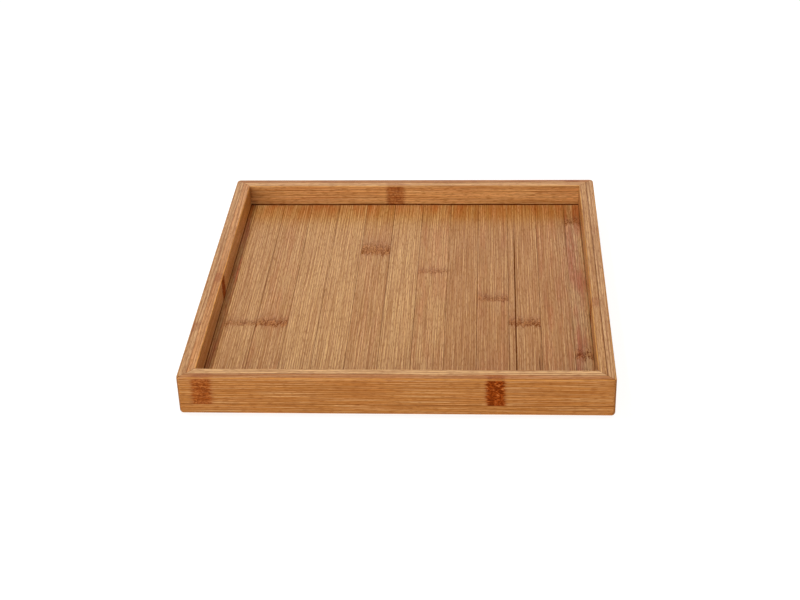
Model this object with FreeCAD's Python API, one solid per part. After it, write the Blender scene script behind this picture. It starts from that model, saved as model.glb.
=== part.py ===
import FreeCAD, Part

import os

# Square serving tray of laminated bamboo, in millimetres.
#
# Four mitred rails stand round a floor panel, whose edges are held in grooves inside the rails.
# A rail is two lamellae thick, and each lamella is two bamboo strips high, glued edge to edge.
# The floor panel is a row of flat strips, glued edge to edge, that run from front to back.
# Every strip is a separate solid.
#
# The origin is the centre of the square footprint, on the surface that the tray stands on.
# +Z is up, the front rail is on the -Y side and the floor's strips run along Y.

# Driving dimensions: the whole tray
TRAY_SIDE = 300.0
TRAY_HEIGHT = 30.0

# Driving dimensions: the rails
LAMELLA = 6.0  # thickness of one strip
OUTER_GLUE_LINE = 8.5  # height of the joint between the lower and upper strip, outer lamella
INNER_GLUE_LINE = 9.0  # the same joint in the inner lamella, which the groove runs over
CORNER_RADIUS = 3.0  # the four upright corners
FOOT_RADIUS = 2.5  # the outer edge that meets the table
RIM_RADIUS = 1.5  # the outer top edge
INNER_EASING = 0.5  # the rail's two inner edges, only just broken by sanding

# Driving dimensions: the floor panel
FLOOR_TOP = 12.5  # height of the serving surface
FLOOR_THICKNESS = 6.0
TONGUE_THICKNESS = 5.0  # the panel's edge, thinned from above to enter the groove
TONGUE_LENGTH = 4.0  # how far the tongue goes into the rail
GROOVE_DEPTH = 4.5  # leaves the panel room to swell
END_GAP = 0.8  # open line between the serving surface and the front and back rails
SIDE_GAP = 0.2  # the same at the left and right rails, where the panel is tight
STRIP_WIDTH = 23.4
FIRST_JOINT = -132.4  # X of the leftmost joint; the panel is cut from a wider board

# Worked out from the dimensions above
HALF = TRAY_SIDE / 2
RAIL = 2 * LAMELLA
WALL = HALF - RAIL  # distance from the centre to a rail's inner face
FLOOR_UNDERSIDE = FLOOR_TOP - FLOOR_THICKNESS
TONGUE_TOP = FLOOR_UNDERSIDE + TONGUE_THICKNESS
TONGUE_END = WALL + TONGUE_LENGTH

SIDES = ("front", "right", "back", "left")  # each one is a quarter turn on from the last
QUARTER_TURN = 90.0
UP = FreeCAD.Vector(0, 0, 1)
CENTRE = FreeCAD.Vector(0, 0, 0)
TOLERANCE = 1e-6


def plate(half_width, half_depth, bottom, top):
    """A block centred on the origin, between two heights."""
    corner = FreeCAD.Vector(-half_width, -half_depth, bottom)
    return Part.makeBox(2 * half_width, 2 * half_depth, top - bottom, corner)


def edges_at_height(solid, height):
    """The edges that lie wholly at one height."""
    return [
        edge
        for edge in solid.Edges
        if abs(edge.BoundBox.ZMin - height) < TOLERANCE
        and abs(edge.BoundBox.ZMax - height) < TOLERANCE
    ]


def outer_form():
    """The tray's outside with its corners, foot and rim rounded over; the rails are cut from it."""
    block = plate(HALF, HALF, 0, TRAY_HEIGHT)
    upright = [edge for edge in block.Edges if edge.BoundBox.ZLength > TRAY_HEIGHT / 2]
    block = block.makeFillet(CORNER_RADIUS, upright)
    block = block.makeFillet(FOOT_RADIUS, edges_at_height(block, 0))
    return block.makeFillet(RIM_RADIUS, edges_at_height(block, TRAY_HEIGHT))


def mitre_wedge():
    """The triangle of the plan that belongs to the front rail, between its two mitres."""
    left = FreeCAD.Vector(-HALF, -HALF, 0)
    right = FreeCAD.Vector(HALF, -HALF, 0)
    triangle = Part.makePolygon([left, right, CENTRE, left])
    return Part.Face(triangle).extrude(UP * TRAY_HEIGHT)


def straight_strip(section):
    """Runs a rail strip's cross-section the full width of the tray along the front.

    A point of the section is (depth behind the outer face, height)."""
    points = [FreeCAD.Vector(-HALF, -HALF + depth, height) for depth, height in section]
    outline = Part.makePolygon(points + points[:1])
    return Part.Face(outline).extrude(FreeCAD.Vector(TRAY_SIDE, 0, 0))


def ease_inner_edge(strip, height):
    """Breaks the long edge where the rail's inner face meets its top or its underside."""
    edge = [
        edge
        for edge in edges_at_height(strip, height)
        if abs(edge.BoundBox.YMin + WALL) < TOLERANCE and edge.BoundBox.YLength < TOLERANCE
    ]
    return strip.makeFillet(INNER_EASING, edge)


def front_rail():
    """The four strips of the front rail as {name: solid}, still square at their ends."""
    groove_bottom = RAIL - GROOVE_DEPTH
    outer_lower = [(0, 0), (LAMELLA, 0), (LAMELLA, OUTER_GLUE_LINE), (0, OUTER_GLUE_LINE)]
    outer_upper = [
        (0, OUTER_GLUE_LINE),
        (LAMELLA, OUTER_GLUE_LINE),
        (LAMELLA, TRAY_HEIGHT),
        (0, TRAY_HEIGHT),
    ]
    inner_lower = [
        (LAMELLA, 0),
        (RAIL, 0),
        (RAIL, FLOOR_UNDERSIDE),
        (groove_bottom, FLOOR_UNDERSIDE),
        (groove_bottom, INNER_GLUE_LINE),
        (LAMELLA, INNER_GLUE_LINE),
    ]
    inner_upper = [
        (LAMELLA, INNER_GLUE_LINE),
        (groove_bottom, INNER_GLUE_LINE),
        (groove_bottom, TONGUE_TOP),
        (RAIL, TONGUE_TOP),
        (RAIL, TRAY_HEIGHT),
        (LAMELLA, TRAY_HEIGHT),
    ]
    return {
        "outer_lower_strip": straight_strip(outer_lower),
        "outer_upper_strip": straight_strip(outer_upper),
        "inner_lower_strip": ease_inner_edge(straight_strip(inner_lower), 0),
        "inner_upper_strip": ease_inner_edge(straight_strip(inner_upper), TRAY_HEIGHT),
    }


def rail_strips():
    """Every strip of the four rails, mitred at both ends and rounded where it is outside."""
    cut = outer_form().common(mitre_wedge())
    strips = {}
    for name, straight in front_rail().items():
        mitred = straight.common(cut)
        for quarter, side in enumerate(SIDES):
            turned = mitred.copy()
            turned.rotate(CENTRE, UP, quarter * QUARTER_TURN)
            strips[f"{side}_rail_{name}"] = turned
    return strips


def floor_panel():
    """The whole floor: the serving surface, with a tongue all round below it."""
    serving_plate = plate(WALL - SIDE_GAP, WALL - END_GAP, FLOOR_UNDERSIDE, FLOOR_TOP)
    tongue_plate = plate(TONGUE_END, TONGUE_END, FLOOR_UNDERSIDE, TONGUE_TOP)
    return serving_plate.fuse(tongue_plate).removeSplitter()


def floor_strips():
    """The floor panel parted at its glue joints, numbered from the left."""
    joints = [-TONGUE_END]
    joint = FIRST_JOINT
    while joint < TONGUE_END:
        joints.append(joint)
        joint += STRIP_WIDTH
    joints.append(TONGUE_END)

    panel = floor_panel()
    strips = {}
    for number, (left, right) in enumerate(zip(joints, joints[1:]), start=1):
        corner = FreeCAD.Vector(left, -TONGUE_END, FLOOR_UNDERSIDE)
        slice_box = Part.makeBox(right - left, 2 * TONGUE_END, FLOOR_THICKNESS, corner)
        strips[f"floor_strip_{number:02d}"] = panel.common(slice_box)
    return strips


def only_solid(name, shape):
    """The single solid inside a boolean's result."""
    if len(shape.Solids) != 1:
        raise ValueError(f"{name} has {len(shape.Solids)} solids")
    solid = shape.Solids[0]
    if not solid.isValid():
        raise ValueError(f"{name} isn't a valid solid")
    return solid


os.makedirs("parts", exist_ok=True)
for name, shape in {**rail_strips(), **floor_strips()}.items():
    only_solid(name, shape).exportStep(f"parts/{name}.step")
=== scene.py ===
import math
from dataclasses import dataclass

import bmesh
import bpy
from mathutils import Euler, Matrix, Vector, noise


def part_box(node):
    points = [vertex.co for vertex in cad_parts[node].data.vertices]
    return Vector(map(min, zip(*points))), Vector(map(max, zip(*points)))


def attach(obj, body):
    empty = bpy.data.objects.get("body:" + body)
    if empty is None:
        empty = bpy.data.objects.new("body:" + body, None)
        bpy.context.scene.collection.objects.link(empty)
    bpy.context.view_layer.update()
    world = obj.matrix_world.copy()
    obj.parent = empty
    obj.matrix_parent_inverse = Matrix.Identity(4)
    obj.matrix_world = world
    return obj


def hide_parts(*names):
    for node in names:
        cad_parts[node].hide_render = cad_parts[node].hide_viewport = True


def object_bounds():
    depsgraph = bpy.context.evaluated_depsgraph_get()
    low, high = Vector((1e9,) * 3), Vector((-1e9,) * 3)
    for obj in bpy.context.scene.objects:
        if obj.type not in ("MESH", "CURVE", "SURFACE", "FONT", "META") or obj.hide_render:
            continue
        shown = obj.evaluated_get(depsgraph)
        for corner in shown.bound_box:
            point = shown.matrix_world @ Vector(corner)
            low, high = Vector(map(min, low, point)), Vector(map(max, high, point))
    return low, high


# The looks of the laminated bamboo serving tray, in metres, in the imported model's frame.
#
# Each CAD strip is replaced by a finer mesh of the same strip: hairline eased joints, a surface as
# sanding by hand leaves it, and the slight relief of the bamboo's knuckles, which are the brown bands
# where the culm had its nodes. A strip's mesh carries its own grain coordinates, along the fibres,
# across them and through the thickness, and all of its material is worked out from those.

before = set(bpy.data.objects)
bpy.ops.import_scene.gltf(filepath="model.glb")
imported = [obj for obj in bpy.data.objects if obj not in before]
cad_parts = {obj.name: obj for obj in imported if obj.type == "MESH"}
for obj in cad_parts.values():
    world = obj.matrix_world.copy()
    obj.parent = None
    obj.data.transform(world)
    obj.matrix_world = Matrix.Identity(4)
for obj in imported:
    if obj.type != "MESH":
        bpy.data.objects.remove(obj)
cad_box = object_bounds()

MM = 0.001

# ---------------------------------------------------------------------------------- sizes
# Places and outer sizes come from the frame. The small radii and gaps repeat the design's.

HALF = cad_box[1].x
TOP = cad_box[1].z
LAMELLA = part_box("front_rail_outer_upper_strip")[1].y + HALF
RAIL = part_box("front_rail_inner_upper_strip")[1].y + HALF
OUTER_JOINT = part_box("front_rail_outer_lower_strip")[1].z
INNER_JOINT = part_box("front_rail_inner_lower_strip")[1].z
TONGUE_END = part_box("floor_strip_02")[1].y
FLOOR_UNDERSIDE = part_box("floor_strip_02")[0].z
FLOOR_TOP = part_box("floor_strip_02")[1].z

CORNER_RADIUS = 3.0 * MM
FOOT_RADIUS = 2.5 * MM
RIM_RADIUS = 1.5 * MM
INNER_EASING = 0.5 * MM
JOINT_EASING = 0.12 * MM  # what sanding leaves at a glue line
TONGUE_TOP = 11.5 * MM
END_GAP = 0.8 * MM  # open line between the serving surface and the front and back rails
SIDE_GAP = 0.2 * MM  # the same at the left and right rails
GROOVE_DEPTH = 4.5 * MM
WALL = HALF - RAIL  # distance from the centre to a rail's inner face
SERVING_END = WALL - END_GAP
SERVING_SIDE = WALL - SIDE_GAP
GROOVE_BOTTOM = RAIL - GROOVE_DEPTH

SIDES = ("front", "right", "back", "left")  # each one is a quarter turn on from the last
BEFORE_RAIL_SEEDS = 20  # the floor strips' seeds are their numbers, and the rails' start after this

# ------------------------------------------------------------------------ the bamboo's marks


@dataclass
class Knuckle:
    """A culm node that crosses a strip."""

    at: float  # where its middle is, along the strip
    reach: float  # how far it spreads to each side
    strength: float = 1.0


@dataclass
class Crack:
    """A fine split along the fibres in a floor strip's top."""

    across: float  # the X that it follows
    start: float
    end: float
    width: float
    depth: float = 0.9 * MM


@dataclass
class Look:
    """What sets one strip apart from its neighbours."""

    light: float  # 0 is the darkest strip of its kind, 1 the palest
    knuckles: tuple = ()
    cracks: tuple = ()
    rust: float = 0.2  # how strongly reddish patches show
    glue: float = 0.4  # how dark the glue line between a rail's lamellae shows
    top_sheen: float = 0.0  # how far a rail's top is painted paler and greyer: a painted sheen
    olive_top: float = 0.0  # how far a rail's top is tinted darker and more olive


FLOOR_LOOKS = (
    # The first strip lies in the left rail's shade; its reddish patches are made strong as painted light,
    # the warm glow that the rail reflects into that shade.
    Look(0.40, rust=1.8),
    Look(0.60, (Knuckle(-52 * MM, 6 * MM, 0.8),)),
    Look(0.42, (Knuckle(-52 * MM, 8 * MM, 1.0),), rust=0.5),
    Look(0.80),
    Look(0.82),
    Look(0.40, (Knuckle(57 * MM, 13 * MM, 1.0),), rust=0.4),
    Look(0.85),
    Look(0.50, (Knuckle(25 * MM, 5 * MM, 0.7),), rust=0.6),
    Look(0.00),
    Look(0.15, (Knuckle(-16 * MM, 7 * MM, 0.8),), rust=0.5),
    Look(
        0.10,
        (Knuckle(-51 * MM, 8 * MM, 1.0),),
        (
            Crack(83.4 * MM, -137.2 * MM, 120 * MM, 0.6 * MM),
            Crack(99.6 * MM, -137.2 * MM, -88 * MM, 0.4 * MM, 0.7 * MM),
        ),
    ),
    Look(0.08, rust=0.8),
    Look(0.95, (Knuckle(106 * MM, 8 * MM, 0.9), Knuckle(-93 * MM, 10 * MM, 1.0)), rust=1.8),
)

OUTER_UPPER_LOOKS = {
    "front": Look(0.5, (Knuckle(-133 * MM, 6.5 * MM, 0.68), Knuckle(68.4 * MM, 6 * MM, 1.0))),
    "right": Look(0.55, (Knuckle(64 * MM, 6 * MM, 0.3),), glue=0.75, top_sheen=0.36),
    "back": Look(0.3, (Knuckle(-132 * MM, 6 * MM, 0.9), Knuckle(72 * MM, 6 * MM, 0.3))),
    "left": Look(0.5, (Knuckle(84 * MM, 6 * MM, 0.7),), glue=0.2, top_sheen=0.34),
}
OUTER_LOWER_LOOKS = {
    "front": Look(0.55),
    "right": Look(0.6, (Knuckle(-72 * MM, 6 * MM, 0.8),)),
    "back": Look(0.5),
    "left": Look(0.7, (Knuckle(-30 * MM, 6 * MM, 0.8),)),
}
INNER_UPPER_LOOKS = {
    "front": Look(1.0, top_sheen=0.45),
    # Painted light: this strip's tone is raised so that its face looks lit from the left, and its top is
    # tinted darker again.
    "right": Look(0.45, (Knuckle(-48 * MM, 6 * MM, 0.7),), rust=0.4, glue=0.75, olive_top=0.6),
    "back": Look(0.9, (Knuckle(15 * MM, 7 * MM, 0.55),), rust=0.5, top_sheen=0.3, olive_top=0.1),
    "left": Look(0.35, (Knuckle(14 * MM, 6 * MM, 0.8),), glue=0.2, olive_top=0.15),
}
INNER_LOWER_LOOKS = {
    "front": Look(0.5),
    "right": Look(0.6),
    "back": Look(0.4, (Knuckle(98 * MM, 6 * MM, 0.8),)),
    "left": Look(0.5),
}

# --------------------------------------------------------------------------------- meshes

FACE_STEP = 1.2 * MM  # between points of an outline
STATION_STEP = 3.0 * MM  # between outlines along a strip
KNUCKLE_STEP = 0.6 * MM  # the same, where a knuckle needs relief
ARC_STEPS = 4  # segments in a quarter circle
CRACK_TAPER = 3  # a crack grows shallower over the last third of its length
SANDING_WAVE = 0.035 * MM  # how far sanding leaves the surface from flat
WAVES_ALONG, WAVES_ACROSS = 14, 60  # about how many there are to the metre
KNUCKLE_RISE = 0.05 * MM
KNUCKLE_FALL = 1.5  # how steeply the rise falls away to each side
KNUCKLE_PITS = 0.07 * MM
PITS_ALONG, PITS_ACROSS = 700, 1100  # about how many there are to the metre
PITS_SEED = 5  # keeps the pits' noise apart from the waves'
WELD = 0.002 * MM
PLACE_DIGITS = 7  # two places along a strip that agree this far, in metres, are one
SMOOTH_ANGLE = math.radians(35)


def spaced(start, end, step):
    """Points between two numbers, both of them included, about a step apart."""
    count = max(1, round(abs(end - start) / step))
    return [start + (end - start) * i / count for i in range(count + 1)]


def eased_corner(before, corner, after, radius):
    """The points that round off one corner of an outline."""
    to_before = (before - corner).normalized()
    to_after = (after - corner).normalized()
    centre = corner + (to_before + to_after) * radius
    points = []
    for i in range(ARC_STEPS + 1):
        angle = math.pi / 2 * i / ARC_STEPS
        points.append(centre - to_after * radius * math.cos(angle) - to_before * radius * math.sin(angle))
    return points


def outline(corners):
    """A strip's cross-section as (across, thickness) points, from right-angled corners that are
    each (across, thickness, radius)."""
    places = [Vector((across, thickness)) for across, thickness, _ in corners]
    rounded = []
    for i, (_, _, radius) in enumerate(corners):
        before, after = places[i - 1], places[(i + 1) % len(places)]
        if radius:
            rounded.append(eased_corner(before, places[i], after, radius))
        else:
            rounded.append([places[i]])
    points = []
    for i, arc in enumerate(rounded):
        points += arc
        following = rounded[(i + 1) % len(rounded)][0]
        length = (following - arc[-1]).length
        shares = spaced(0, 1, FACE_STEP / length)[1:-1]
        points += [arc[-1].lerp(following, share) for share in shares]
    return points


def add_crack(points, crack):
    """Makes room in a floor strip's outline for a crack: two lips, and a point between them."""
    lips = [crack.across + crack.width / 2, crack.across, crack.across - crack.width / 2]
    result = []
    for i, point in enumerate(points):
        following = points[(i + 1) % len(points)]
        on_top = point.y == following.y == FLOOR_TOP
        too_near = on_top and abs(point.x - crack.across) < crack.width
        if not too_near:
            result.append(point)
        if on_top and following.x < crack.across <= point.x:
            result += [Vector((across, FLOOR_TOP)) for across in lips]
    return result


def places_along(reach, knuckles):
    """Where a strip's outlines stand along it, closer together at its knuckles."""
    places = []
    for place in spaced(-reach, reach, STATION_STEP):
        close = any(abs(place - k.at) < k.reach + STATION_STEP for k in knuckles)
        step = KNUCKLE_STEP if close else STATION_STEP
        places += spaced(place, min(place + STATION_STEP, reach), step)
    return sorted({round(place, PLACE_DIGITS) for place in places})


def relief(along, across, look, seed):
    """Height of the surface, as sanding left it, above the flat one."""
    height = SANDING_WAVE * noise.noise(Vector((along * WAVES_ALONG, across * WAVES_ACROSS, seed)))
    for knuckle in look.knuckles:
        distance = (along - knuckle.at) / knuckle.reach
        near = math.exp(-KNUCKLE_FALL * distance**2) * knuckle.strength
        pits = noise.noise(Vector((along * PITS_ALONG, across * PITS_ACROSS, seed + PITS_SEED)))
        height += near * (KNUCKLE_RISE + KNUCKLE_PITS * pits)
    return height


def strip_piece(name, section, stations, position, place, material):
    """One strip: its section carried through the stations as a closed mesh.

    position(station, point) is a vertex in the strip's own axes, along, across and thickness.
    place is the matrix that takes those axes to the tray's."""
    shape = bmesh.new()
    rows = [[shape.verts.new(position(station, point)) for point in section] for station in stations]
    for near, far in zip(rows, rows[1:]):
        for i in range(len(section)):
            shape.faces.new((near[i - 1], near[i], far[i], far[i - 1]))
    shape.faces.new(rows[0])
    shape.faces.new(rows[-1])
    bmesh.ops.remove_doubles(shape, verts=shape.verts, dist=WELD)
    bmesh.ops.dissolve_degenerate(shape, edges=shape.edges, dist=WELD)
    grain = shape.verts.layers.float_vector.new("grain")
    for vertex in shape.verts:
        vertex[grain] = vertex.co
    shape.transform(place)
    bmesh.ops.recalc_face_normals(shape, faces=shape.faces)

    mesh = bpy.data.meshes.new(f"{name}_bamboo")
    shape.to_mesh(mesh)
    shape.free()
    mesh.shade_smooth()
    mesh.set_sharp_from_angle(angle=SMOOTH_ANGLE)
    mesh.materials.append(material)
    piece = bpy.data.objects.new(f"{name}_bamboo", mesh)
    bpy.context.scene.collection.objects.link(piece)
    normals = piece.modifiers.new("flat faces stay flat", "WEIGHTED_NORMAL")
    normals.keep_sharp = True
    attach(piece, "root")
    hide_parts(name)
    return piece


# --------------------------------------------------------------------------- rails' strips


def rail_sections():
    """The four strips of a rail as {name: corners}. Across is height, and thickness is measured
    inwards from the rail's outer face."""
    hair = JOINT_EASING
    return {
        "outer_lower": [
            (0, 0, FOOT_RADIUS),
            (0, LAMELLA, hair),
            (OUTER_JOINT, LAMELLA, hair),
            (OUTER_JOINT, 0, hair),
        ],
        "outer_upper": [
            (OUTER_JOINT, 0, hair),
            (OUTER_JOINT, LAMELLA, hair),
            (TOP, LAMELLA, hair),
            (TOP, 0, RIM_RADIUS),
        ],
        "inner_lower": [
            (0, LAMELLA, hair),
            (0, RAIL, INNER_EASING),
            (FLOOR_UNDERSIDE, RAIL, hair),
            (FLOOR_UNDERSIDE, GROOVE_BOTTOM, 0),
            (INNER_JOINT, GROOVE_BOTTOM, 0),
            (INNER_JOINT, LAMELLA, hair),
        ],
        "inner_upper": [
            (INNER_JOINT, LAMELLA, hair),
            (INNER_JOINT, GROOVE_BOTTOM, 0),
            (TONGUE_TOP, GROOVE_BOTTOM, 0),
            (TONGUE_TOP, RAIL, hair),
            (TOP, RAIL, INNER_EASING),
            (TOP, LAMELLA, hair),
        ],
    }


def rail_stations(look):
    """(place, turn) pairs: a place along the straight stretch, and how far round the rail's
    rounded end the outline stands, from 0 to 1 at the mitre."""
    straight = HALF - CORNER_RADIUS
    turns = [i / ARC_STEPS for i in range(ARC_STEPS, 0, -1)]
    stations = [(-straight, turn) for turn in turns]
    stations += [(place, 0) for place in places_along(straight, look.knuckles)]
    return stations + [(straight, turn) for turn in reversed(turns)]


def rail_position(look, seed, outer):
    """Where a point of a rail strip's outline goes at each station."""
    straight = HALF - CORNER_RADIUS
    shown = 0 if outer else RAIL  # the depth of the face that isn't glued

    def position(station, point):
        place, turn = station
        height, depth = point
        along = place * min(1, (HALF - depth) / straight)  # shorter inwards, for the mitre
        radius = max(CORNER_RADIUS - depth, 0)
        angle = turn * math.pi / 4
        along += math.copysign(radius * math.sin(angle), along)
        depth += radius * (1 - math.cos(angle))
        if abs(point.y - shown) < WELD and not turn:
            lift = relief(along, height, look, seed)
            depth += -lift if outer else lift
        return along, height, depth

    return position


def rail_place(quarter):
    """The matrix that stands a rail strip in its side of the tray."""
    upright = Matrix(((1, 0, 0, 0), (0, 0, 1, -HALF), (0, 1, 0, 0), (0, 0, 0, 1)))
    return Matrix.Rotation(quarter * math.pi / 2, 4, "Z") @ upright


def make_rails():
    """The sixteen strips of the four rails."""
    looks = {
        "outer_lower": OUTER_LOWER_LOOKS,
        "outer_upper": OUTER_UPPER_LOOKS,
        "inner_lower": INNER_LOWER_LOOKS,
        "inner_upper": INNER_UPPER_LOOKS,
    }
    seed = BEFORE_RAIL_SEEDS
    for strip, corners in rail_sections().items():
        outer = strip.startswith("outer")
        for quarter, side in enumerate(SIDES):
            look = looks[strip][side]
            seed += 1
            name = f"{side}_rail_{strip}_strip"
            strip_piece(
                name,
                outline(corners),
                rail_stations(look),
                rail_position(look, seed, outer),
                rail_place(quarter),
                rail_bamboo(name, look, outer, seed),
            )


# --------------------------------------------------------------------------- floor's strips


def floor_section(left, right, cracks):
    """A floor strip's outline. Across is X and thickness is Z. The first and last strips have the
    floor's tongue along one side too."""
    hair = JOINT_EASING
    corners = [(left, FLOOR_UNDERSIDE, hair), (right, FLOOR_UNDERSIDE, hair)]
    if right > SERVING_SIDE:
        corners += [(right, TONGUE_TOP, hair)]
        corners += [(SERVING_SIDE, TONGUE_TOP, 0), (SERVING_SIDE, FLOOR_TOP, hair)]
    else:
        corners += [(right, FLOOR_TOP, hair)]
    if left < -SERVING_SIDE:
        corners += [(-SERVING_SIDE, FLOOR_TOP, hair), (-SERVING_SIDE, TONGUE_TOP, 0)]
        corners += [(left, TONGUE_TOP, hair)]
    else:
        corners += [(left, FLOOR_TOP, hair)]
    points = outline(corners)
    for crack in cracks:
        points = add_crack(points, crack)
    return points


def floor_stations(look):
    """(place, top) pairs: a place along the strip, and how high the strip may be there. Each
    shoulder has two, one at the serving surface's height and one at the tongue's."""
    tongue = [(-TONGUE_END, TONGUE_TOP), (-SERVING_END, TONGUE_TOP)]
    serving = [(place, FLOOR_TOP) for place in places_along(SERVING_END, look.knuckles)]
    return tongue + serving + [(-place, top) for place, top in reversed(tongue)]


def floor_position(look, seed):
    """Where a point of a floor strip's outline goes at each station."""

    def position(station, point):
        along, top = station
        across, height = point
        if height in (FLOOR_TOP, FLOOR_UNDERSIDE) and abs(along) < SERVING_END:
            lift = relief(along, across, look, seed)
            height += lift if height == FLOOR_TOP else -lift
        for crack in look.cracks:
            if point.x == crack.across and crack.start <= along <= crack.end:
                from_end = (crack.end - along) / (crack.end - crack.start)
                height -= crack.depth * min(1, from_end * CRACK_TAPER)
        if top < FLOOR_TOP:
            height = min(height, top)
        return along, across, height

    return position


def make_floor():
    """The thirteen strips of the floor."""
    place = Matrix(((0, 1, 0, 0), (1, 0, 0, 0), (0, 0, 1, 0), (0, 0, 0, 1)))
    for number, look in enumerate(FLOOR_LOOKS, start=1):
        name = f"floor_strip_{number:02d}"
        low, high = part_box(name)
        strip_piece(
            name,
            floor_section(low.x, high.x, look.cracks),
            floor_stations(look),
            floor_position(look, number),
            place,
            floor_bamboo(name, look, number, low.x, high.x),
        )


# ------------------------------------------------------------------------------- materials


def srgb(red, green, blue):
    """A colour given as on a screen, from 0 to 255, as the linear colour that shaders take."""
    parts = []
    for value in (red, green, blue):
        share = value / 255
        parts.append(share / 12.92 if share <= 0.04045 else ((share + 0.055) / 1.055) ** 2.4)
    return (*parts, 1.0)


FLOOR_TONES = (srgb(173, 121, 57), srgb(203, 158, 97))  # the darkest strip's and the palest's
OUTER_TONES = (srgb(160, 96, 36), srgb(197, 133, 64))
INNER_TONES = (srgb(184, 115, 52), srgb(229, 169, 102))
KNUCKLE_RED = srgb(139, 60, 12)
KNUCKLE_BROWN = srgb(88, 30, 0)
KNUCKLE_TAN = srgb(142, 76, 24)
KNUCKLE_PALE = srgb(204, 134, 72)
FIBRE_BROWN = srgb(120, 62, 10)
FIBRE_CREAM = srgb(227, 183, 126)
# Reddish brown of rust patches, also used for painted reflected light: near the back rail, and in the
# shade by the left rail.
RUST_AND_REFLECTED_RED = srgb(178, 86, 28)
# Pale grey of a painted sheen on the rails' tops.
SHEEN_PALE = srgb(214, 186, 138)
# Olive tint that darkens some rails' tops.
OLIVE_TOP_TINT = srgb(171, 129, 69)
# Dark brown of glue lines, joints and cracks, and of the painted shade in the gap by the floor.
GLUE_AND_SHADE_BROWN = srgb(78, 26, 0)
# Paler tone drawn near the rounded edges.
EDGE_PALE = srgb(212, 154, 90)

TONE_DRIFT = 0.3  # how far a strip's tone drifts, as a share of its kind's range
TONE_MARGIN = 0.25  # how far past that range a drifting tone may be before it stops
PATCH_STRENGTH = 0.5  # how much of a patch is rust where a strip's rust is 1
ROW_SPACING = 1.7 * MM  # between rows of fibre bundles
ROW_SLANT = 0.7  # how far a row shifts across a strip for each step into it
ROW_WANDER = 14.0  # the most that a row strays, in radians of its phase
FLECK_STRENGTH = 0.65  # of the dark flecks in a floor strip's knuckle
RAIL_FLECK_STRENGTH = 0.85
PALE_FLECK_STRENGTH = 0.45
STAIN_STRENGTH = 0.45  # of the stain among the flecks of a floor strip's knuckle
STAIN_BEHIND_STRENGTH = 0.3
KNUCKLE_OFFSET, NEXT_KNUCKLE_OFFSET = 50, 10  # the noise offsets that knuckles use start here
# Painted reflection: the floor is tinted redder near the back rail, for the rail's own reflection in the
# lacquer.
BACK_REFLECTION_LENGTH = 35 * MM  # the floor is redder this near to the back rail
BACK_REFLECTION_STRENGTH = 0.7
EDGE_PALE_STRENGTH = 0.35
WOOD_ROUGHNESS = 0.4
MATT_ROUGHNESS = 0.25  # added where the bamboo is dark, and near its edges
WOOD_SPECULAR = 0.02  # nearly none, because the gloss is the lacquer's
LACQUER = 0.65
LACQUER_ROUGHNESS = 0.3
FIBRE_MATT = 0.35  # how matt the dark fibres are, where a knuckle or the edge mask is 1
FIBRE_RELIEF = 0.12 * MM
FIBRE_RELIEF_STRENGTH = 0.3


class Shader:
    """Adds nodes to one material. A value for a socket is a number, a colour or an output."""

    def __init__(self, name):
        self.material = bpy.data.materials.new(name)
        self.material.use_nodes = True
        self.tree = self.material.node_tree
        self.surface = self.tree.nodes["Principled BSDF"]

    def feed(self, socket, value):
        if isinstance(value, bpy.types.NodeSocket):
            self.tree.links.new(value, socket)
        else:
            socket.default_value = value

    def node(self, kind, **inputs):
        made = self.tree.nodes.new(kind)
        for name, value in inputs.items():
            self.feed(made.inputs[name.replace("_", " ")], value)
        return made

    def math(self, operation, *values):
        made = self.tree.nodes.new("ShaderNodeMath")
        made.operation = operation
        for socket, value in zip(made.inputs, values):
            self.feed(socket, value)
        return made.outputs["Value"]

    def grain(self):
        """The strip's own coordinates: along the fibres, across them, through the thickness."""
        made = self.tree.nodes.new("ShaderNodeAttribute")
        made.attribute_name = "grain"
        return made.outputs["Vector"]

    def noise(self, vector, lengths, seed, detail=2.0, swirl=0.0):
        """Noise from 0 to 1 whose blobs have about these lengths, in metres."""
        scale = tuple(1 / length for length in lengths)
        placed = self.node("ShaderNodeMapping", Vector=vector, Scale=scale, Location=(seed, -seed, seed))
        made = self.node("ShaderNodeTexNoise", Vector=placed.outputs["Vector"], Scale=1.0)
        made.inputs["Detail"].default_value = detail
        made.inputs["Distortion"].default_value = swirl
        return made.outputs["Fac"]

    def rise(self, value, low, high):
        """0 below low, 1 above high and smooth between them. High may be the lower number."""
        made = self.tree.nodes.new("ShaderNodeMapRange")
        made.interpolation_type = "SMOOTHSTEP"
        for name, number in (("Value", value), ("From Min", low), ("From Max", high)):
            self.feed(made.inputs[name], number)
        return made.outputs["Result"]

    def mix(self, share, first, second):
        """First colour where share is 0, second where it is 1."""
        made = self.tree.nodes.new("ShaderNodeMix")
        made.data_type = "RGBA"
        # Its sockets come in one set for each data type, under the same names.
        for socket, value in ((0, share), (6, first), (7, second)):
            self.feed(made.inputs[socket], value)
        return made.outputs[2]


@dataclass
class Strip:
    """One strip's material while it's being made, with the shader outputs that its parts share."""

    shader: Shader
    grain: bpy.types.NodeSocket
    along: bpy.types.NodeSocket
    across: bpy.types.NodeSocket
    depth: bpy.types.NodeSocket
    seed: int

    def streaks(self, length, width, offset, detail=2.0, swirl=0.0):
        """Noise drawn out along the fibres, different for each offset."""
        return self.shader.noise(self.grain, (length, width, width), self.seed + offset, detail, swirl)

    def kinks(self, width, offset):
        """Noise that changes only across the fibres, for the ragged ends of a knuckle."""
        unchanging = 1.0  # a length in metres, so far longer than a strip
        return self.shader.noise(self.grain, (unchanging, width, width), self.seed + offset, detail=3.0)


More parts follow.
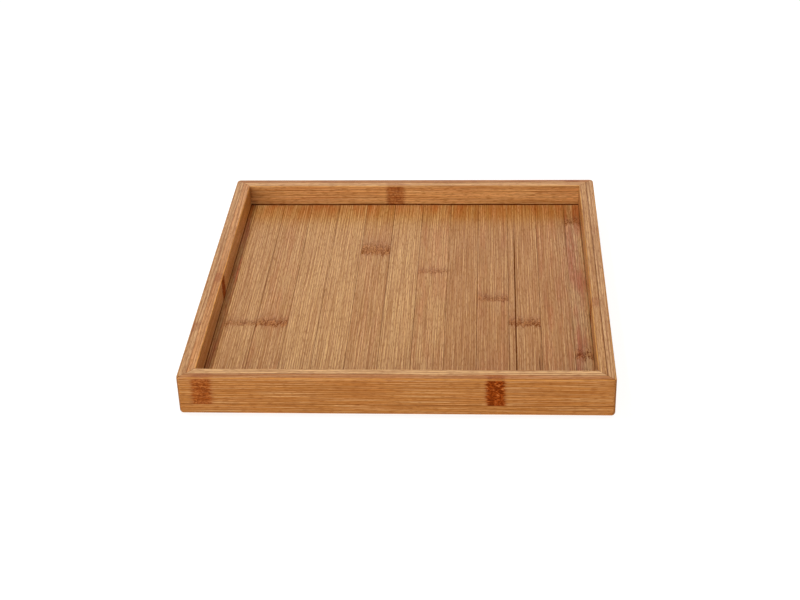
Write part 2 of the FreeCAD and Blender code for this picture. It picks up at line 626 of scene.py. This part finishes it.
def start_strip(name, seed):
    """A new material for a strip, with its grain coordinates at hand."""
    shader = Shader(f"bamboo_{name}")
    grain = shader.grain()
    split = shader.node("ShaderNodeSeparateXYZ", Vector=grain).outputs
    return Strip(shader, grain, split["X"], split["Y"], split["Z"], seed)


def from_value(strip, axis, value):
    """Distance from a plane across one of the strip's axes."""
    return strip.shader.math("ABSOLUTE", strip.shader.math("SUBTRACT", axis, value))


def wood_colour(strip, look, tones):
    """The strip's own tone, its slow drift and its reddish patches."""
    shader = strip.shader
    drift = strip.streaks(90 * MM, 6 * MM, offset=0)
    tone = shader.math("MULTIPLY_ADD", drift, TONE_DRIFT, look.light - TONE_DRIFT / 2)
    colour = shader.mix(shader.rise(tone, -TONE_MARGIN, 1 + TONE_MARGIN), *tones)
    patches = shader.rise(strip.streaks(40 * MM, 5 * MM, offset=23), 0.4, 0.7)
    return shader.mix(shader.math("MULTIPLY", patches, look.rust * PATCH_STRENGTH), colour, RUST_AND_REFLECTED_RED)


def fibre_rows(strip):
    """Rows of fibre bundles at an even spacing, which wander a little and show in places only."""
    shader = strip.shader
    place = shader.math("MULTIPLY_ADD", strip.depth, ROW_SLANT, strip.across)
    wander = shader.math("MULTIPLY", strip.streaks(120 * MM, 3 * MM, offset=17), ROW_WANDER)
    phase = shader.math("MULTIPLY_ADD", place, 2 * math.pi / ROW_SPACING, wander)
    rows = shader.rise(shader.math("SINE", phase), -0.4, 0.7)
    shown = shader.rise(strip.streaks(12 * MM, 1.6 * MM, offset=29), 0.3, 0.6)
    return shader.math("MULTIPLY_ADD", shader.math("SUBTRACT", rows, 0.5), shown, 0.5)


def fibre_marks(strip, colour):
    """Draws the fibres over a colour, and gives their relief and how dark they are too."""
    shader = strip.shader
    rows = fibre_rows(strip)
    bundles = shader.rise(strip.streaks(70 * MM, 0.65 * MM, offset=11, detail=0.0), 0.5, 0.64)
    threads = shader.rise(strip.streaks(50 * MM, 0.65 * MM, offset=13, detail=0.0), 0.5, 0.66)
    fine = shader.rise(strip.streaks(50 * MM, 0.35 * MM, offset=15), 0.45, 0.6)
    pores = shader.rise(strip.streaks(6 * MM, 0.7 * MM, offset=19), 0.52, 0.62)
    for mark, strength, ink in (
        (threads, 0.35, FIBRE_CREAM),
        (rows, 0.55, FIBRE_BROWN),
        (bundles, 0.35, FIBRE_BROWN),
        (fine, 0.15, FIBRE_BROWN),
        (pores, 0.45, FIBRE_BROWN),
    ):
        colour = shader.mix(shader.math("MULTIPLY", mark, strength), colour, ink)
    dark = shader.math("MAXIMUM", shader.math("MAXIMUM", rows, bundles), pores)
    height = shader.math("SUBTRACT", threads, shader.math("MULTIPLY_ADD", fine, 0.5, dark))
    return colour, height, dark


def mottling(strip, mask, strength, offset):
    """Brown flecks and a few pale ones in the swirled fibres of a knuckle, where the mask is 1."""
    shader = strip.shader
    swirls = strip.streaks(3.2 * MM, 1.5 * MM, offset=offset, swirl=1.5)
    dark = shader.math("MULTIPLY", shader.rise(swirls, 0.46, 0.57), strength)
    pale = shader.math("MULTIPLY", shader.rise(swirls, 0.42, 0.32), PALE_FLECK_STRENGTH)
    return (
        (shader.math("MULTIPLY", mask, dark), KNUCKLE_BROWN),
        (shader.math("MULTIPLY", mask, pale), KNUCKLE_PALE),
    )


def floor_knuckle(strip, knuckle, offset):
    """A ragged band of brown flecks, with a streaky stain that fades behind it."""
    shader = strip.shader
    reach = knuckle.reach
    ragged_by = 2.4 * reach
    ragged = shader.math("MULTIPLY_ADD", strip.kinks(2.5 * MM, offset), ragged_by, strip.along)
    place = shader.math("SUBTRACT", ragged, knuckle.at + ragged_by / 2)

    front = shader.rise(place, -0.6 * reach, -0.3 * reach)
    band = shader.math("MULTIPLY", front, shader.rise(place, 2 * reach, 0))
    band = shader.math("MULTIPLY", band, knuckle.strength)
    streaky = shader.rise(strip.streaks(16 * MM, 1.6 * MM, offset=offset + 3), 0.2, 0.6)
    behind = shader.math("MULTIPLY", front, shader.rise(place, 3.2 * reach, 0))
    faint = shader.math("MULTIPLY", streaky, STAIN_BEHIND_STRENGTH * knuckle.strength)
    behind = shader.math("MULTIPLY", behind, faint)
    stain = shader.math("MAXIMUM", shader.math("MULTIPLY", band, STAIN_STRENGTH), behind)
    return ((stain, KNUCKLE_TAN), *mottling(strip, band, FLECK_STRENGTH, offset + 1))


def rail_knuckle(strip, knuckle, offset):
    """A block of mottled brown with ragged ends, right across the strip."""
    shader = strip.shader
    ragged_by = 8 * MM
    ragged = shader.math("MULTIPLY_ADD", strip.kinks(1.4 * MM, offset), ragged_by, strip.along)
    off_middle = from_value(strip, ragged, knuckle.at + ragged_by / 2)
    block = shader.rise(off_middle, 1.4 * knuckle.reach, 0.7 * knuckle.reach)
    below_top = shader.rise(strip.across, TOP, TOP - 1.5 * MM)  # painted sheen: the knuckle is drawn fainter on the rail's top
    block = shader.math("MULTIPLY", block, shader.math("MULTIPLY_ADD", below_top, 0.6, 0.4))
    block = shader.math("MULTIPLY", block, knuckle.strength)
    return ((block, KNUCKLE_RED), *mottling(strip, block, RAIL_FLECK_STRENGTH, offset + 1))


def near_line(strip, distance, width, strength, broken=0.6):
    """The mask of a hairline where a distance is under a width. Broken is how far it fades in
    places, from 0 to 1."""
    shader = strip.shader
    line = shader.rise(distance, width, 0.2 * width)
    kept = shader.rise(strip.streaks(12 * MM, 12 * MM, offset=31), 0.25, 0.6)
    share = shader.math("MULTIPLY_ADD", kept, broken * strength, (1 - broken) * strength)
    return shader.math("MULTIPLY", line, share)


def pale_edges(strip, edges):
    """Where the tone is paler near edges, each of them an (across, depth, radius) corner."""
    shader = strip.shader
    edge_paleness = 0.0
    edge_jitter = shader.math("MULTIPLY", strip.streaks(9 * MM, 1.2 * MM, offset=41), 1.2 * MM)
    for across, depth, radius in edges:
        off_across = shader.math("POWER", shader.math("SUBTRACT", strip.across, across), 2.0)
        off_depth = shader.math("POWER", shader.math("SUBTRACT", strip.depth, depth), 2.0)
        from_edge = shader.math("SQRT", shader.math("ADD", off_across, off_depth))
        rounding = 0.42 * radius  # how near the corner the rounded edge comes
        uneven = shader.math("ADD", from_edge, edge_jitter)
        by_edge = shader.rise(uneven, rounding + 1.3 * MM, rounding + 0.5 * MM)
        edge_paleness = shader.math("MAXIMUM", by_edge, edge_paleness)
    return edge_paleness


def bamboo(strip, look, tones, knuckle_marks, lines, tints, edges=()):
    """Lacquered bamboo, less glossy where it's dark, and near the edges that it is given. knuckle_marks
    draws one knuckle, lines are masks of dark hairlines, among them painted shade by the floor, and
    tints are (mask, colour) pairs under the fibres, among them a painted sheen and a painted reflection."""
    shader = strip.shader
    colour = wood_colour(strip, look, tones)
    for mask, tone in tints:
        colour = shader.mix(mask, colour, tone)
    colour, height, dark = fibre_marks(strip, colour)
    matt = shader.math("MULTIPLY", dark, FIBRE_MATT)
    for number, knuckle in enumerate(look.knuckles):
        offset = KNUCKLE_OFFSET + NEXT_KNUCKLE_OFFSET * number
        for mark, ink in knuckle_marks(strip, knuckle, offset):
            colour = shader.mix(mark, colour, ink)
            height = shader.math("MULTIPLY_ADD", mark, -1.0, height)
            matt = shader.math("MAXIMUM", matt, mark)
    if edges:
        # The tone is drawn paler and less glossy near the rounded edges.
        edge_paleness = pale_edges(strip, edges)
        colour = shader.mix(shader.math("MULTIPLY", edge_paleness, EDGE_PALE_STRENGTH), colour, EDGE_PALE)
        matt = shader.math("MAXIMUM", matt, edge_paleness)
    for line in lines:
        colour = shader.mix(line, colour, GLUE_AND_SHADE_BROWN)
        matt = shader.math("MAXIMUM", matt, line)

    surface = shader.surface.inputs
    relief_node = shader.node(
        "ShaderNodeBump", Height=height, Strength=FIBRE_RELIEF_STRENGTH, Distance=FIBRE_RELIEF
    )
    shader.feed(surface["Base Color"], colour)
    shader.feed(surface["Roughness"], shader.math("MULTIPLY_ADD", matt, MATT_ROUGHNESS, WOOD_ROUGHNESS))
    shader.feed(surface["Coat Weight"], shader.math("MULTIPLY", shader.rise(matt, 0.8, 0), LACQUER))
    shader.feed(surface["Normal"], relief_node.outputs["Normal"])
    surface["Specular IOR Level"].default_value = WOOD_SPECULAR
    surface["Coat Roughness"].default_value = LACQUER_ROUGHNESS
    return shader.material


def floor_bamboo(name, look, seed, left, right):
    """The bamboo of a floor strip that lies between two values of X."""
    strip = start_strip(name, seed)
    shader = strip.shader
    from_end = from_value(strip, shader.math("ABSOLUTE", strip.along), SERVING_END)
    lines = [
        near_line(strip, from_value(strip, strip.across, left), width=0.4 * MM, strength=0.7),
        near_line(strip, from_value(strip, strip.across, right), width=0.4 * MM, strength=0.7),
        # Painted shade: a dark line along the strip's ends, where the serving surface drops into the gap
        # by the front and back rails.
        near_line(strip, from_end, width=0.6 * MM, strength=0.8),
    ]
    for crack in look.cracks:
        along = shader.rise(strip.along, crack.end, crack.start + 0.7 * (crack.end - crack.start))
        on_top = shader.rise(strip.depth, FLOOR_TOP - 2 * crack.depth, FLOOR_TOP - crack.depth)
        off_crack = from_value(strip, strip.across, crack.across)
        line = near_line(strip, off_crack, width=1.3 * crack.width, strength=1.0, broken=0.2)
        lines.append(shader.math("MULTIPLY", line, shader.math("MULTIPLY", along, on_top)))
    # Painted reflection: near the back rail the floor takes the red of the rail reflected in its lacquer
    # and the warm light it throws back.
    near_back = shader.rise(strip.along, SERVING_END - BACK_REFLECTION_LENGTH, SERVING_END)
    patchy = shader.rise(strip.streaks(40 * MM, 8 * MM, offset=37), 0.3, 0.7)
    back_reflection_red = shader.math("MULTIPLY", near_back, shader.math("MULTIPLY", patchy, BACK_REFLECTION_STRENGTH))
    return bamboo(strip, look, FLOOR_TONES, floor_knuckle, lines, ((back_reflection_red, RUST_AND_REFLECTED_RED),))


def rail_bamboo(name, look, outer, seed):
    """The bamboo of a rail strip: glue lines between the strips, a hairline at the mitres and
    painted shade on the inner face from just above the floor's surface down into the groove."""
    strip = start_strip(name, seed)
    shader = strip.shader
    from_joint = from_value(strip, strip.across, OUTER_JOINT if outer else INNER_JOINT)
    from_lamella = from_value(strip, strip.depth, LAMELLA)
    to_mitre = shader.math("ADD", shader.math("ABSOLUTE", strip.along), strip.depth)
    lines = [
        near_line(strip, from_joint, width=0.3 * MM, strength=0.6),
        near_line(strip, from_lamella, width=(0.2 + 0.3 * look.glue) * MM, strength=look.glue),
        near_line(strip, from_value(strip, to_mitre, HALF), width=0.35 * MM, strength=0.7),
    ]
    # Painted sheen: a rail's top is tinted paler and greyer than its faces.
    on_top = shader.rise(strip.across, TOP - 0.8 * MM, TOP - 0.2 * MM)
    tints = (
        (shader.math("MULTIPLY", on_top, look.top_sheen), SHEEN_PALE),
        (shader.math("MULTIPLY", on_top, look.olive_top), OLIVE_TOP_TINT),
    )
    if outer:
        edges = ((TOP, 0, RIM_RADIUS), (0, 0, FOOT_RADIUS))
        return bamboo(strip, look, OUTER_TONES, rail_knuckle, lines, tints, edges)
    # Painted shade: the inner face is drawn dark where it meets the floor and down into the gap, where
    # shade falls.
    gap_shade = shader.rise(strip.across, FLOOR_TOP + 0.8 * MM, FLOOR_TOP + 0.2 * MM)
    above_floor = shader.rise(strip.across, FLOOR_UNDERSIDE - 0.3 * MM, FLOOR_UNDERSIDE)
    lines.append(shader.math("MULTIPLY", gap_shade, above_floor))
    edges = ((TOP, RAIL, INNER_EASING), (0, RAIL, INNER_EASING))
    return bamboo(strip, look, INNER_TONES, rail_knuckle, lines, tints, edges)


def lit_acrylic():
    """The pale floor that the tray is photographed on: white acrylic, lit from below."""
    shader = Shader("lit_white_acrylic")
    coordinates = shader.tree.nodes.new("ShaderNodeTexCoord").outputs["Object"]
    mottle = shader.noise(coordinates, (0.6, 0.6, 0.6), 3)
    colour = shader.mix(mottle, srgb(112, 112, 112), srgb(116, 116, 116))
    shader.feed(shader.surface.inputs["Base Color"], colour)
    shader.surface.inputs["Roughness"].default_value = 0.6
    shader.surface.inputs["Emission Color"].default_value = (1, 1, 1, 1)
    shader.surface.inputs["Emission Strength"].default_value = 0.88
    return shader.material


# ----------------------------------------------------------------------------------- studio

STAGE_RADIUS = 10.0  # of the flat part of the floor
COVE_RADIUS = 3.0  # the floor's rim sweeps up by a quarter circle
COVE_STEPS = 8
STAGE_SIDES = 96
KEY_DIRECTION = Vector((-0.36, 0.0, 1.0))  # towards the light: overhead, a little to the left
FRONT_DIRECTION = Vector((-0.35, -1.0, 0.36))
BACK_DIRECTION = Vector((0.0, 1.0, 0.62))
FILL_DIRECTION = Vector((1.0, 0.3, 1.0))
WARM = (1.0, 0.84, 0.55)
WORLD_LIGHT = 0.05
CAMERA_PLACE = Vector((0.0652, -1.0070, 0.6120))
CAMERA_TURN = (58.85, -1.90, 3.98)  # degrees: tilt up from straight down, roll, turn to the left
CAMERA_LENS = 68.9  # millimetres, on a sensor 36 mm wide


def make_floor_stage():
    """A round floor whose rim curves up, so that the ground is pale at low angles too."""
    shape = bmesh.new()
    bmesh.ops.create_circle(shape, cap_ends=True, radius=STAGE_RADIUS, segments=STAGE_SIDES)
    near = list(shape.verts)
    for step in range(1, COVE_STEPS + 1):
        angle = math.pi / 2 * step / COVE_STEPS
        radius = STAGE_RADIUS + COVE_RADIUS * math.sin(angle)
        height = COVE_RADIUS * (1 - math.cos(angle))
        far = [shape.verts.new((vertex.co.xy.normalized() * radius).to_3d()) for vertex in near]
        for vertex in far:
            vertex.co.z = height
        for i in range(STAGE_SIDES):
            shape.faces.new((near[i - 1], near[i], far[i], far[i - 1]))
        near = far
    mesh = bpy.data.meshes.new("studio_floor")
    shape.to_mesh(mesh)
    shape.free()
    mesh.materials.append(lit_acrylic())
    floor = bpy.data.objects.new("studio_floor", mesh)
    floor.visible_glossy = False  # its mirror image would veil the rails' colours
    bpy.context.scene.collection.objects.link(floor)


def soft_box(name, direction, distance, size, irradiance, colour=(1, 1, 1)):
    """A square or oblong light that faces the tray. An irradiance of 1 shows a white card that
    faces it as plain white."""
    light = bpy.data.lights.new(name, "AREA")
    light.shape = "RECTANGLE"
    light.color = colour
    light.size, light.size_y = size
    light.energy = irradiance * math.pi**2 * distance**2
    lamp = bpy.data.objects.new(name, light)
    lamp.location = direction.normalized() * distance
    lamp.rotation_euler = direction.to_track_quat("Z", "Y").to_euler()
    lamp.visible_camera = False
    bpy.context.scene.collection.objects.link(lamp)


def make_lights():
    """Four soft boxes, and a little light from all round."""
    soft_box("key_light", KEY_DIRECTION, distance=1.5, size=(0.18, 0.18), irradiance=0.55)
    soft_box("front_light", FRONT_DIRECTION, distance=4.0, size=(3.6, 2.4), irradiance=0.76)
    soft_box("back_light", BACK_DIRECTION, distance=2.0, size=(1.8, 1.3), irradiance=0.26)
    soft_box("fill_light", FILL_DIRECTION, distance=2.0, size=(1.2, 1.2), irradiance=0.44, colour=WARM)
    world = bpy.data.worlds.new("studio_world")
    world.use_nodes = True
    background = world.node_tree.nodes["Background"]
    background.inputs["Color"].default_value = (1, 1, 1, 1)
    background.inputs["Strength"].default_value = WORLD_LIGHT
    bpy.context.scene.world = world
    bpy.context.scene.view_settings.view_transform = "Standard"


def make_camera():
    """The camera that sees the tray at the photograph's angle."""
    camera = bpy.data.objects.new("camera", bpy.data.cameras.new("camera"))
    camera.data.lens = CAMERA_LENS
    camera.location = CAMERA_PLACE
    tilt, roll, turn = (math.radians(angle) for angle in CAMERA_TURN)
    turned = Euler((tilt, 0, turn)).to_matrix() @ Matrix.Rotation(roll, 3, "Z")
    camera.rotation_euler = turned.to_euler()
    bpy.context.scene.collection.objects.link(camera)
    bpy.context.scene.camera = camera


make_rails()
make_floor()
make_floor_stage()
make_lights()
make_camera()
